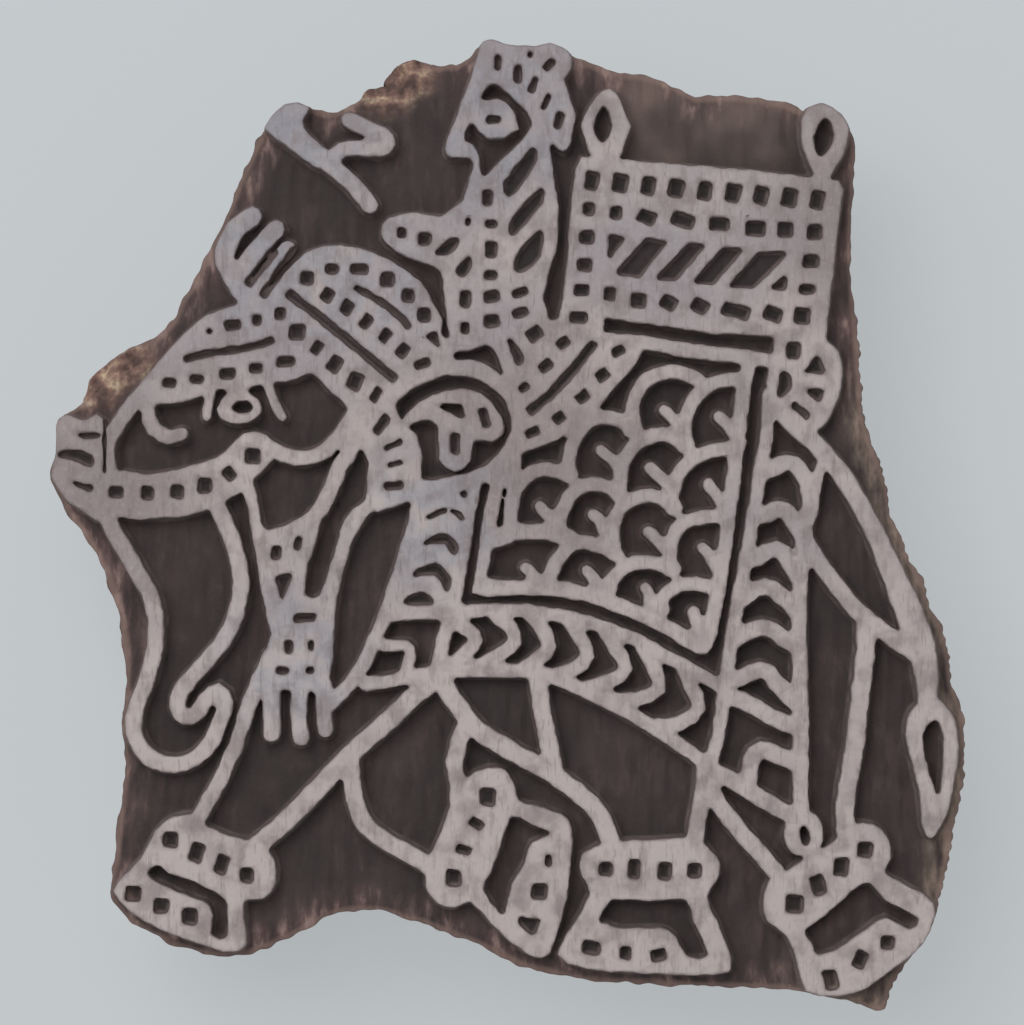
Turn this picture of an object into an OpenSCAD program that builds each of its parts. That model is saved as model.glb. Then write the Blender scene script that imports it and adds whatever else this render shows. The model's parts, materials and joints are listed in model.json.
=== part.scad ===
// Carved wooden block for printing cloth by hand. It lies on its handle with the
// printing face up, and the picture stands in relief above an open ground.

/* [Block] */
// Width of the block across the printing face
block_w = 184; // [165:1:230]
// Thickness of the block from its back to the printing face
block_t = 28; // [24:0.5:36]
// Depth of the open ground below the printing face
ground_depth = 5; // [4:0.5:7]
// Depth of the small cells cut into the printed bands
cell_depth = 3; // [1.5:0.5:3.5]
// Width of a printed line
line_w = 3; // [2.4:0.1:3.6]

/* [Handle] */
// Width of the handle where the hand closes round it
handle_w = 30; // [26:1:40]
// Height of the handle under the block
handle_h = 34; // [30:0.5:42]
// Length of the finger gap
gap_l = 70; // [60:1:76]
// Thickness of the grip under the finger gap
grip_t = 14; // [11:0.5:16]
// Thickness of the post at each end of the finger gap
post_t = 8; // [6:0.5:11]
// Length of the low shoulder beyond each post, where the nails go through
shoulder_l = 22; // [18:0.5:25]
// Height of the shoulder, measured down from the back of the block
shoulder_h = 14; // [11:0.5:17]
// How far the outside of a post leans in towards the face it rests on
lean = 7; // [4:0.5:9]

/* [Nails] */
// Diameter of a nail shank
nail_d = 2.8; // [2.2:0.1:3.4]
// Diameter of a nail head
nail_head_d = 6.4; // [5.4:0.1:8]
// Thickness of a nail head
nail_head_t = 1.4; // [1:0.1:2]
// Length of nail inside the block
nail_grip = 13; // [9:0.5:15]
// Distance between the two nails of one shoulder
nail_pitch = 14; // [10:0.5:18]

/* [Hidden] */
// Gap left round a shank or a head
fit = 0.05;
// Scale from drawing millimetres to the chosen width
k = block_w / 184;
// Levels, counted up from the face the handle rests on
z_back = handle_h;
z_ground = handle_h + block_t - ground_depth;
z_face = handle_h + block_t;
z_shoulder = handle_h - shoulder_h;
handle_l = gap_l + 2 * (post_t + shoulder_l);
nail_x = (handle_l - shoulder_l) / 2;
nail_tip = 4;
head_sink = 0.2;
eps = 0.01;

// Smooth curve through a row of points, with one more point halfway between two of
// them unless the curve is almost straight there
function pick(p, i) = p[min(max(i, 0), len(p) - 1)];
function wrap(p, i) = p[(i + len(p)) % len(p)];
function halfway(a, b, c, d) = (9 * b + 9 * c - a - d) / 16;
function bends(a, b, c, d) = norm(b + c - a - d) > 3.2;
function step(a, b, c, d) = bends(a, b, c, d) ? [b, halfway(a, b, c, d)] : [b];
function curve(p) =
    [for (i = [0 : len(p) - 2])
        each step(pick(p, i - 1), p[i], p[i + 1], pick(p, i + 2)),
     p[len(p) - 1]];
function loop(p) =
    [for (i = [0 : len(p) - 1])
        each step(wrap(p, i - 1), p[i], wrap(p, i + 1), wrap(p, i + 2))];
function beside(q, w) =
    [for (i = [0 : len(q) - 1]) let (d = pick(q, i + 1) - pick(q, i - 1))
        q[i] + w * [-d[1], d[0]] / norm(d)];
function back(q) = [for (i = [len(q) - 1 : -1 : 0]) q[i]];

// A printed line, f times the usual width
module line(p, f = 1) {
    q = curve(p);
    w = line_w * f / 2 / k;
    polygon(concat(beside(q, w), back(beside(q, -w))));
    for (e = [q[0], q[len(q) - 1]]) translate(e) circle(w, $fn = 8);
}
// A thin cut of a fixed width
module slit(p, w) {
    q = curve(p);
    polygon(concat(beside(q, w / 2), back(beside(q, -w / 2))));
}
// A filled shape with a smooth edge
module patch(p) { polygon(loop(p)); }
// Small hand-cut cells, each as x, y, width, height and turn
module dots(rows) {
    for (d = rows)
        translate([d[0], d[1]]) rotate(len(d) > 4 ? d[4] : 0)
            polygon([for (c = [[4, 3.6], [-3.6, 4], [-4, -3.5], [3.5, -4]])
                [c[0] * d[2] / 8, c[1] * d[3] / 8]]);
}

// Edge of the block, going round from the left of the top edge
edge = [
    [-48, 80], [-46, 82.5], [-42, 84.5], [-36, 82.2], [-32, 83.5], [-28, 86],
    [-24, 87.2], [-20, 91.6], [-10, 92], [-6, 95.5], [-3, 97], [1, 95.8],
    [6, 95.5], [9, 96.4], [14, 93.8], [21, 90.5], [28, 89.8], [34, 87.8],
    [38, 85.5], [46, 85.8], [56, 84.3], [59.5, 82.8], [63, 84.3], [67, 82.5],
    [69, 79.5], [70.2, 74], [69.2, 58], [70, 42], [71.3, 24], [73.5, 15],
    [76.5, 7.5], [77.5, 2], [79.5, -3], [80.5, -6.5], [83.5, -11.5], [85, -16],
    [87, -20.5], [88.8, -26], [89.5, -32], [91, -35], [91.8, -41], [92, -52],
    [90.5, -58], [88.8, -62], [88.6, -67], [87, -75], [86, -80], [83.5, -84.5],
    [80.5, -88], [77.5, -92], [76.2, -97], [72.5, -97], [66, -95.5], [54, -93.2],
    [38, -92.8], [28, -92.2], [16, -91.8], [9.5, -90.2], [4, -89], [-2, -86.2],
    [-8, -83.4], [-16, -80.4], [-24, -78], [-31.5, -77.6], [-37, -79.5],
    [-44, -83.2], [-52, -86.2], [-59, -86.6], [-67, -84.5], [-75, -80],
    [-79, -75.5], [-79.4, -72.5], [-78.2, -66], [-77.3, -56], [-76.5, -48],
    [-77, -40], [-76, -28], [-77.5, -18], [-80.5, -9], [-84.5, -2.5],
    [-87, 1], [-90.5, 7], [-91.8, 10.5], [-90, 15], [-90, 19.6], [-88.6, 22], [-85, 24.5],
    [-81, 31], [-76.5, 33.8], [-71, 36.8], [-66.5, 41], [-65, 44.8],
    [-62.5, 48.5], [-59, 55.8], [-56, 62.5], [-52.5, 71]
];
rim = loop(edge);
mid = [min([for (p = rim) p[0]]) + max([for (p = rim) p[0]]),
       min([for (p = rim) p[1]]) + max([for (p = rim) p[1]])] / 2;

// Head and neck of the elephant
module head() {
    difference() {
        patch([[-69.5, 32.5], [-64.5, 38], [-59.5, 42], [-52, 44.5], [-46.5, 48], [-40, 54.5],
            [-33, 55.8], [-26, 54], [-19, 50.2], [-15.5, 46], [-12.8, 41], [-11, 36],
            [7.5, 40.6], [19.5, 41.5], [19.5, 38.3], [27.5, 35.2], [23, 28.5], [17, 21.5],
            [10, 16.5], [1.5, 13.2], [-1, 5], [-4, -8], [-12, -8], [-19, 0], [-18.3, 4.5],
            [-22, 3.6], [-25.5, 2.5], [-28.6, 3.6], [-27.9, 6], [-27.5, 12], [-29, 15.5],
            [-31, 22.5], [-36, 27.2], [-38.8, 30.3], [-42, 28.8], [-46.5, 28.2],
            [-50, 27.7], [-53.5, 26.4], [-57, 27], [-62, 25.2], [-70, 23.8], [-72.5, 27]]);
        patch([[-22, 24], [-18, 27.4], [-11.5, 29.8], [-5, 28.6], [0, 24.3], [1, 18.5],
            [-2, 13.5], [-7, 10.3], [-12, 9.2], [-17, 9], [-16.7, 13], [-18, 18],
            [-20.8, 20.5]]);
        patch([[-10.3, 33], [-10, 34.5], [-7, 34.8], [-4, 36], [-2, 34], [-0.3, 29.3],
            [-2.5, 31], [-5, 32.5]]);
    }
    difference() {
        patch([[-20.5, 20.8], [-17.5, 24.3], [-11.5, 26.8], [-5, 26.2], [-0.8, 21.5],
            [-0.6, 18], [-3, 16.4], [-6.4, 16.8], [-7, 12.5], [-10.2, 10.5],
            [-13.4, 13], [-13.6, 19.5], [-17, 20.8], [-20, 19.5]]);
        polygon([[-14.5, 24], [-8.8, 24.2], [-8.1, 20.8], [-10.5, 21.8]]);
    }
    line([[-62, 38], [-66, 34], [-70, 29.3], [-74.3, 24.5], [-78, 19.5],
        [-79.8, 15], [-79.3, 10]]);
    line([[-71.5, 27], [-71.8, 23], [-70.5, 19], [-67.5, 17.4], [-65, 18]], 0.95);
    line([[-59, 27], [-60, 21.5]], 0.65);
    line([[-48, 29], [-46.3, 24], [-44.8, 21.5]], 0.65);
    difference() {
        patch([[-58, 22.8], [-55.5, 20.2], [-51.5, 20.2], [-48.7, 22.8],
            [-51.5, 26.5], [-55.5, 26.5]]);
        patch([[-55, 23.2], [-53.4, 22], [-51.6, 22.2], [-50.5, 23.5], [-51.8, 24.6], [-53.8, 24.5]]);
    }
}
module head_cells() {
    dots([[-59.3, 38.6, 1.4, 1.2], [-54.6, 39.7, 3.6, 2.4, 10], [-49.8, 40.8, 2.2, 2.4],
        [-45.2, 42, 2.2, 2.4], [-67.3, 28.2, 3, 2.2], [-61.8, 28.9, 3, 2],
        [-55.7, 30, 3.6, 2.4], [-50, 31.2, 3, 2.2], [-44, 32.5, 4, 2.2, 5],
        [-39.8, 49.2, 3, 3], [-34.8, 51, 2.8, 2.2], [-29.3, 51, 3.8, 2.2],
        [-23.7, 48.8, 3, 3.2], [-19.5, 45.7, 2.6, 3], [-16.3, 41.8, 3, 3.2],
        [-35.7, 45.8, 2.6, 3, -30], [-31.8, 43.2, 2.8, 3.2, -30], [-28, 40.4, 2.4, 3.2, -35],
        [-24.2, 37.6, 2.4, 3.2, -35], [-20.6, 34.7, 2.4, 3.2, -35], [-16.7, 32, 3.6, 2, 20],
        [-45.2, 42.2, 2.2, 2.4], [-41.8, 38.4, 3.4, 3.4], [-37.8, 35.2, 2.2, 3.2, -30],
        [-34.3, 31.9, 2.8, 3.6, -30], [-30.2, 28.5, 3, 3.8, -20], [-26, 25.8, 1.9, 3.4, -30],
        [-24.9, 19.8, 2, 4.6, -35], [-22.5, 15.8, 4.2, 1.2, 28], [-22.2, 12, 5, 0.9, 15],
        [-22.5, 7.7, 4.2, 1.8, 5], [-4.3, 21.2, 2, 4.6, 15], [-10.2, 16, 2.2, 4.6]]);
    polygon([[-16.5, 37.6], [-13.8, 38.8], [-12.8, 34.5]]);
    slit([[-41.9, 55.2], [-45.9, 49.6], [-48.8, 45.3]], 1.8);
    slit([[-46.2, 54.9], [-48.7, 51.7], [-51.8, 47.7]], 1.9);
    slit([[-64.5, 32.8], [-60, 34], [-53, 35], [-46.3, 36.8]], 1.6);
    slit([[-30.5, 47.5], [-25, 44.5], [-20.5, 40.8], [-19.3, 39]], 1.5);
    slit([[-43.8, 46.4], [-37, 41.2], [-30, 35.5], [-22, 28.8]], 1.9);
    dots([[5.8, 38, 3.4, 3, 40], [11.5, 36.2, 3, 2.2, 40], [8, 31.6, 3.2, 2.2, 40],
        [3.5, 27.3, 2.4, 1.8, 40], [22.5, 34.6, 3, 2.2, 30], [19.3, 29.8, 3, 2.6, 40],
        [15.4, 25.4, 3, 2.4, 40], [10.7, 21.2, 2.8, 2.4, 40], [5.3, 18.3, 3.4, 2, 25]]);
    slit([[17.8, 36.5], [14, 31.5], [9, 26], [4.5, 22.3]], 2);
    patch([[0, 36.8], [1.5, 37], [3.7, 33.5], [3, 31.8], [1.8, 32.3]]);
}

// Snout, jaw and cheek
module jaw() {
    patch([[-80, 10.3], [-72, 10], [-66, 10.8], [-60, 12.5], [-56, 14.5], [-52.5, 18.2],
        [-48, 18], [-46, 14.5], [-48.5, 10.8], [-53, 6.5], [-58, 3.3], [-64, 1.6],
        [-70, 1], [-80, 2]]);
    line([[-49, 16.5], [-44.5, 13.8], [-40, 13.2], [-36, 14.8], [-33, 17.8],
        [-31, 21], [-29.5, 24]]);
    line([[-28.5, 19.5], [-31, 15], [-33.5, 11], [-35, 7], [-37, 3], [-40, 0],
        [-44, -1.8], [-49, -3.5]], 1.05);
    patch([[-91, 19], [-88, 21.8], [-84, 20.5], [-80.5, 21], [-80.5, 2], [-84, 2],
        [-88, 5], [-91, 9.5], [-90, 14.5]]);
}
module jaw_cells() {
    dots([[-78, 6.3, 3.2, 2.6], [-71.8, 6.2, 2.8, 3], [-65.8, 6.4, 2.8, 3],
        [-60.2, 7.6, 3, 3.4], [-55.3, 10, 2.6, 3, 45], [-50.6, 13.6, 3.4, 3.4]]);
    slit([[-80.3, 21], [-80.3, 10]], 0.7);
    patch([[-87.5, 18.8], [-84.5, 17], [-81.4, 17.3], [-81.4, 18.2], [-84.5, 18.2]]);
    patch([[-89.7, 14.4], [-86.5, 15], [-82.7, 13.8], [-82.8, 11.2], [-86, 12.5],
        [-89.5, 13.3]]);
    patch([[-88, 9.2], [-85, 8.2], [-82.7, 8], [-82.7, 6.3], [-85.5, 7.2]]);
}

// Trunk in one line with its tip rolled in
module trunk() {
    line([[-80.8, 3.5], [-78.5, -1.5], [-75, -7.5], [-71.5, -13.5], [-70, -19],
        [-70.2, -25], [-71.8, -31], [-73.8, -36], [-74.5, -41], [-73, -45],
        [-70, -47.5], [-66, -48.2], [-62, -46.8], [-58.8, -43.2], [-57, -39],
        [-56.3, -35.5], [-57.5, -33.4], [-60, -35.2], [-62, -38], [-64.3, -38.6],
        [-65.8, -36.8], [-65, -33.3], [-61.5, -29.2], [-57, -24], [-54, -18],
        [-53, -11.5], [-54.2, -5], [-56.3, 0.5], [-58, 4]], 1.1);
    translate([-57.2, -34.4]) circle(1.8, $fn = 12);
}

// Goad in the rider's hand, and the tuft behind the brow
module goad() {
    line([[-40, 76], [-36, 72.6], [-31, 68.3], [-27.2, 63.8]], 1.15);
    patch([[-48.6, 79.3], [-46.8, 82], [-43, 84.6], [-38.5, 84.6], [-40.8, 80.8], [-39.2, 77.8],
        [-35.4, 74], [-37.2, 71], [-40.4, 73], [-44.4, 75.9]]);
    line([[-31.5, 80.8], [-27.5, 79], [-24.5, 77.8], [-23.6, 76.3], [-25.2, 75],
        [-29, 75.2], [-33, 74.8], [-34.8, 72.5]], 1.05);
    line([[-50.8, 61.5], [-54, 59], [-55.8, 56], [-56.2, 52.5], [-54.4, 49], [-51.8, 45]], 1.3);
    line([[-46, 59], [-50, 54.5], [-53, 50], [-51.5, 46.5]], 1.2);
    line([[-43.6, 55.3], [-47.3, 51.3], [-50.2, 47]], 1);
}

// Rider
module rider() {
    difference() {
        patch([[-5, 96], [-3, 97.3], [1, 95.8], [6, 95.5], [9, 96.4], [12.5, 94.5],
            [13.3, 91.5], [11.6, 89], [13, 84.5], [14, 81.5], [13, 76.5], [11.5, 74.5],
            [9.5, 76], [8.6, 78], [9.2, 72], [10.5, 64], [10, 55], [8.5, 50], [7.4, 45],
            [8.5, 40.5], [2, 36], [-4, 36.5], [-10, 34.5], [-12, 42], [-12.6, 49],
            [-14, 51.4], [-20, 53.5], [-24, 56], [-25, 58.5], [-23.5, 61.3], [-18, 62.3],
            [-13.2, 61.6], [-10.8, 63], [-8.6, 64.8], [-7.8, 67.5], [-6.6, 71], [-7.2, 73.4], [-11, 73.4],
            [-12.3, 75], [-10.5, 80], [-9, 84], [-7.5, 88], [-6.2, 92]]);
        patch([[-5.4, 84.8], [-3.4, 88], [-1, 87.4], [3, 83.8], [5, 80.7], [4.8, 79],
            [3.3, 77.8], [2.2, 80], [1.6, 82.6], [0, 84.5], [-2, 85.2]]);
        patch([[-8.3, 76.8], [-7, 80.5], [-5.5, 78.4], [-3.5, 77], [-0.5, 77], [1.8, 78.6],
            [3.6, 79.4], [4.7, 78.6],
            [1.5, 75.2], [-1.5, 72.3], [-4.8, 69.2], [-5.2, 73.5], [-6.8, 76]]);
    }
}
module rider_cells() {
    dots([[-2.4, 80.9, 3.2, 1.8], [-1.7, 92.3, 1.6, 3.6], [2.4, 90, 1.8, 4],
        [5.5, 87.8, 1.4, 3.6, -20], [8.7, 91.9, 1.8, 3.2, -40], [4.8, 94, 1.2, 1.4],
        [8, 84.4, 1.4, 4, -25], [10.6, 80.7, 1.9, 3.8, -12], [-20.8, 58.2, 2.2, 2.4],
        [-16.3, 57, 3, 2.8], [-7.5, 60.5, 1.5, 2], [-3.7, 65.2, 2.4, 3.4],
        [-3, 60, 2.6, 1.8], [-3, 54.9, 2.6, 3.6], [-3, 49.8, 2.8, 2],
        [-8.2, 45, 2.4, 3.8], [-8.2, 39.2, 2.2, 2.8]]);
    for (c = [[-2.8, 45.5, 3.3, 2.4], [-2.8, 40.7, 3.3, 2.6], [2.9, 46.3, 3.4, 1.8],
            [2.9, 42.2, 3.2, 1.8]])
        translate([c[0], c[1]]) rotate(c[0] > 0 ? 15 : 6) square([c[2], c[3]], center = true);
    patch([[-9, 57], [-11.5, 57], [-14.3, 54.5], [-13.5, 53.7], [-11.5, 53.7]]);
    patch([[-7.2, 54], [-7, 51.3], [-8.3, 49.3], [-10, 50], [-9.7, 51.5]]);
    patch([[5.3, 75.5], [6.2, 72.5], [1.8, 66], [0, 65.5], [-0.4, 68.5]]);
    patch([[7.5, 67.5], [7.3, 64], [3.5, 59.5], [1, 57.5], [1, 61], [4, 64.5]]);
    patch([[7.4, 59], [7, 53.5], [3.5, 50.5], [1.6, 50.8], [2.2, 54.2], [4.6, 57]]);
}

// Seat on the elephant's back with its two finials
module howdah() {
    polygon([[15, 73.5], [30, 72.3], [50, 70.7], [66.5, 68.8], [67.5, 67], [66.5, 60],
        [65.5, 50], [64.3, 40], [54, 37.4], [42, 38], [30, 39.8], [19.6, 41.2], [9.9, 38.8],
        [11.4, 45], [12.2, 52], [12.8, 62], [14, 71]]);
    difference() {
        union() {
            patch([[17.8, 72.4], [16, 76.5], [15, 79.8], [16.5, 83.4], [18.3, 86], [20.9, 87.1],
                [22.8, 85], [23.8, 82.3], [25, 79.5], [23.9, 76.5], [22.2, 72.4]]);
            patch([[61.5, 70], [59.5, 75], [59, 80], [60.3, 83.2], [63.5, 84.2],
                [67, 82], [68.8, 79], [68.3, 76], [67, 73], [65.4, 70.2], [64, 68.8]]);
        }
        patch([[19.6, 84], [21.3, 79.8], [19.5, 76], [17.4, 79.5]]);
        patch([[63.8, 81.5], [65.8, 78], [64.3, 74.3], [62.6, 73.5], [61.5, 77.5]]);
    }
}
module howdah_cells() {
    for (i = [0 : 8])
        dots([[17.2 + 5.65 * i, 68.6 - 0.48 * i, i % 2 == 0 ? 3 : 3.4, 4.1, -8]]);
    dots([[16.5, 63, 2.6, 2.6], [22, 62.3, 2.6, 2.8], [28.2, 61.4, 4, 3, -20],
        [35.5, 60.8, 5, 3, -15], [42.7, 60, 4.4, 3], [50, 59.2, 4.6, 3.4],
        [56, 58.9, 3.4, 3.4], [61.8, 58.4, 3.4, 3.4], [16.2, 57.3, 3.2, 3],
        [15.8, 51.8, 3.2, 2.8], [15.2, 46.8, 3.4, 2.8], [14.6, 41.3, 3.8, 2.6], [61, 52.5, 3.6, 3],
        [60.3, 47, 3.6, 2.2], [59.3, 41.6, 3.4, 3.6], [20.8, 46, 2.8, 3],
        [26.5, 44.7, 3.4, 3.2], [32.5, 44.2, 3.6, 3, -25], [38.8, 43.6, 3.8, 3, -25],
        [46, 42.6, 6, 3, -15], [53.5, 42, 4, 3.2, -20]]);
    polygon([[20.5, 58], [24.3, 57.5], [20.5, 52.5]]);
    for (c = [[28, 57.3, 32.6, 56.5, 26.8, 49.2, 21.6, 50],
            [36.5, 56.3, 40.3, 56, 34, 48.6, 29.5, 48.8],
            [43.5, 55.6, 47.8, 55, 41.5, 47.8, 36.8, 48],
            [50.5, 54.5, 57, 54.5, 49.5, 47, 44, 47.3]])
        polygon([[c[0], c[1]], [c[2], c[3]], [c[4], c[5]], [c[6], c[7]]]);
    polygon([[52, 46.8], [56, 46.8], [56.5, 50.3]]);
}

// Saddle cloth: a hem round rows of scales, each scale with its own stem
module arch(p, stem) {
    line(p, 0.95);
    line(stem, 0.8);
}
module cloth() {
    line([[19, 36.8], [27, 36.4], [35, 35], [42, 33.9], [48.5, 33], [47.6, 28],
        [46.8, 20], [45.4, 8], [43.9, -4], [42.3, -14], [40.6, -22], [39.4, -24.8],
        [37.5, -24], [31, -20], [24, -16.8], [16, -14], [8, -12.8], [0, -12.8],
        [-5.6, -13], [-4.5, -7], [-3.6, 0], [-3, 5], [-2, 9]], 1);
    patch([[-6, -14], [-5, -10.5], [0, -11.5], [12, -11.5], [22, -14.5], [30, -18],
        [38, -22], [40.2, -25.2], [38.5, -25.6], [32, -22], [24, -18.5], [14, -15],
        [4, -14], [0, -14.2]]);
    for (joint = [[25, 19], [35.9, 16], [12.7, 9.8], [22.5, 7.2], [33.6, 3.3], [10.8, -1.8],
            [21.2, -4.2], [33.3, -9], [20.6, -12.8], [8.3, -11.6], [31, -17]])
        translate(joint) circle(1.9, $fn = 8);
    line([[45.5, 33.7], [54.7, 32.4]], 0.95);
    line([[2, 13], [1.5, 8], [0.8, 3], [0.5, -3]], 0.75);
    patch([[-4, -2], [1, 0], [6, 0], [10, 0], [15, -2.5], [11, -4], [8, -3.2],
        [2, -3.2], [-2, -5]]);
    arch([[26, 19], [25.3, 23.5], [27, 27.6], [30, 29.9], [34.5, 30.5], [38.5, 29]],
        [[36, 18], [33.5, 21], [31.6, 22.8]]);
    arch([[35.5, 17], [36, 21.5], [38.3, 25.8], [42, 28.4], [46.4, 28.9]],
        [[47, 16.5], [44.5, 19.5], [42.6, 21.5]]);
    arch([[12.6, 10], [12.8, 15], [15, 19], [18.5, 21.3], [22.5, 21], [25.5, 18.5]],
        [[23.2, 10.8], [21, 13], [19, 14.8]]);
    arch([[23, 8.5], [23.2, 11.8], [25.5, 15.5], [29.5, 17.8], [33, 17.6], [36.5, 15]],
        [[33, 7], [30.5, 9.8], [28.8, 11.3]]);
    arch([[33, 3.5], [34, 9], [37, 12.8], [41, 14.6], [45.6, 15]],
        [[44.5, 2], [42, 6], [40.5, 8]]);
    arch([[0.9, 0], [1.3, 5], [3.5, 9], [7.5, 11], [12.5, 10]],
        [[11, -0.5], [8.5, 1.6], [6.8, 3.6]]);
    arch([[10.6, -2], [11.3, 3], [14, 6.8], [17, 8], [20.8, 7.2], [23, 5]],
        [[20, -3], [19, 0.5], [17.5, 1.8]]);
    arch([[21.5, -5], [21.4, 0], [23.2, 3.5], [27, 5.6], [31, 5.2], [33.3, 3.6]],
        [[32, -5], [30, -3], [28.6, -1.6]]);
    arch([[32.8, -8], [33.2, -3], [35.5, 0.2], [39, 1.2], [44.1, 1.7]],
        [[42.5, -9.5], [41, -6.5], [39.4, -4.8]]);
    arch([[8.6, -11], [10.2, -7.3], [13, -4.3], [16, -3.7], [20, -4.8], [22.5, -6.5]],
        [[18.7, -13.4], [17.5, -10.8], [16.2, -9.3]]);
    arch([[20.8, -11.6], [22.8, -9.4], [25.5, -7.7], [29, -7.7], [32.6, -8.6]],
        [[29, -16.5], [28.6, -14], [27.9, -12.8]]);
    arch([[30, -17], [32, -14], [34.5, -12.2], [38, -12], [41.3, -12.6]],
        [[38.3, -20.6], [37.9, -19], [37.6, -17.6]]);
    line([[6, -11], [4.5, -9.2], [3.9, -8.8]], 0.8);
}

// Straps round the elephant
module straps() {
    line([[-7, -10], [-10.4, -16.5], [-12.5, -23], [-14, -30.5]], 0.95);
    line([[-4.5, 9], [-6, 4], [-7.3, 0], [-8.2, -5], [-9, -10], [-9.8, -15], [-9.5, -18]], 0.9);
    line([[-17.5, 4], [-18.3, 0], [-20, -5.5], [-22, -12], [-24.5, -19], [-27.5, -26],
        [-30, -30.5], [-32.5, -33.5], [-35.5, -36.3]], 0.95);
    patch([[-18, 5], [-18.8, -0.5], [-20.5, -7], [-23.8, -17.5], [-10, -17.5], [-8, -7],
        [-6, 4], [-4, 9]]);
    line([[-24, -18.4], [-18, -17.8], [-12, -18], [-4, -17.2], [4, -17.3], [12, -18.6],
        [19, -20.4], [26, -23.2], [33, -27], [38, -29.6], [43.5, -33]], 0.9);
    line([[-24.5, -24.4], [-21, -24.2], [-19.2, -24.8], [-19.5, -28], [-20.5, -31]], 0.75);
    line([[-28, -32], [-24, -31.6], [-20, -30.8], [-16.5, -30.2], [-12, -29.4],
        [-4, -29.3], [4, -29.4], [8.5, -30.3], [14, -32.6], [20, -35.4], [26, -38.6],
        [32, -42.3], [37, -45.8], [41.5, -49.5]], 0.95);
    for (c = [
            [[-10, -19.5], [-7.2, -21.5], [-6, -23.2], [-8.2, -26], [-11, -28.5]],
            [[-2.2, -18], [0.8, -20.6], [1.7, -23.5], [-1, -26], [-6, -28.8]],
            [[4.8, -18], [7.2, -21], [8.7, -24.3], [6.6, -27], [3.5, -29]],
            [[12.6, -19], [14.8, -22.6], [16.3, -26.4], [13.6, -29], [9.5, -30.6]],
            [[19.6, -21], [22, -24.8], [24, -29], [21, -31.4], [16, -33]],
            [[27.2, -24.5], [29.6, -28.6], [30.6, -33], [26, -35.2], [20, -35]],
            [[35.5, -28.5], [37, -32.6], [38.6, -36.8], [34.6, -40], [30, -40.5]]])
        line(c);
    line([[52.6, 26], [52.2, 18], [50.8, 10], [49.6, 2], [48.2, -6], [46.7, -14],
        [45.3, -22], [44.2, -30], [43.4, -36], [42.6, -42], [41, -48]], 0.9);
    line([[60, 1], [59.6, -4], [59, -10], [58.7, -20], [58.8, -30], [59, -40],
        [59, -50], [59, -58]], 1.05);
    line([[63.6, 13], [62.3, 9], [61.4, 4], [60.6, 0]], 0.75);
    for (c = [
            [[51.5, 10.3], [53.8, 11.3], [56.4, 12.4], [58.6, 11.2], [60.3, 8.4], [60.9, 5], [60.7, 2]],
            [[50.3, 1.4], [52, 2], [54.6, 3.1], [56.4, 2.3], [57.9, 0.2], [59.3, -2.5], [59.7, -5]],
            [[48.8, -7.2], [50.4, -6.7], [52.2, -5.6], [54, -5], [55.5, -5.9],
                [56.8, -7.8], [58.3, -10.2]],
            [[47.2, -15.1], [48.5, -14.2], [50.1, -13], [51.9, -12.6], [53.6, -13], [55.1, -14.4],
                [58.2, -17.3]],
            [[45.8, -22.9], [47.2, -22.2], [49.2, -21.2], [51.5, -20.7], [53.4, -21.2], [55.2, -22.7],
                [58.3, -24.7]],
            [[45.2, -31.1], [47, -30.8], [48.9, -29.8], [51, -29.2], [52.8, -30], [54.1, -31.8],
                [58.3, -36]],
            [[44.8, -34.7], [47.5, -35.4], [50.3, -37], [53, -38.6], [55.5, -39.7], [58.3, -40.6]],
            [[48.5, -51.5], [48.9, -48], [49.8, -45.9], [51.3, -45], [53.3, -45.8], [58.3, -47.9]]])
        line(c, 1.15);
    line([[40, -49], [45, -51.2], [50, -54.2], [54.5, -57], [58, -58.5]], 1.15);
    difference() {
        translate([59.6, -62]) scale([0.98, 1.12]) circle(4.1, $fn = 20);
        translate([59.8, -62.3]) rotate(12) scale([0.5, 1]) circle(2.1, $fn = 12);
    }
}
module strap_cells() {
    slit([[-16, 1], [-13.3, 2.4], [-11.3, 2.9], [-9.5, 2], [-8.5, 0.7]], 1);
    slit([[-15.6, 5.2], [-13.4, 5.9]], 0.7);
    polygon([[-9.6, 6.3], [-7.8, 6.8], [-7.9, 4.6]]);
    patch([[-17, -4.2], [-15, -2.6], [-11.8, -1.9], [-9.6, -4.4], [-9.9, -6.3],
        [-11.2, -5.6], [-12.2, -4], [-14.7, -4.1]]);
    patch([[-19, -11], [-17.5, -8.9], [-14, -7.7], [-12, -9.3], [-10.9, -11],
        [-11.7, -14], [-13.2, -11.4], [-14.3, -10.2], [-17, -10.2]]);
    patch([[-20.6, -16], [-19.6, -14.5], [-16.8, -13.4], [-14.8, -14.8], [-14.4, -16.2],
        [-17.5, -16.3]]);
}

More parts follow.
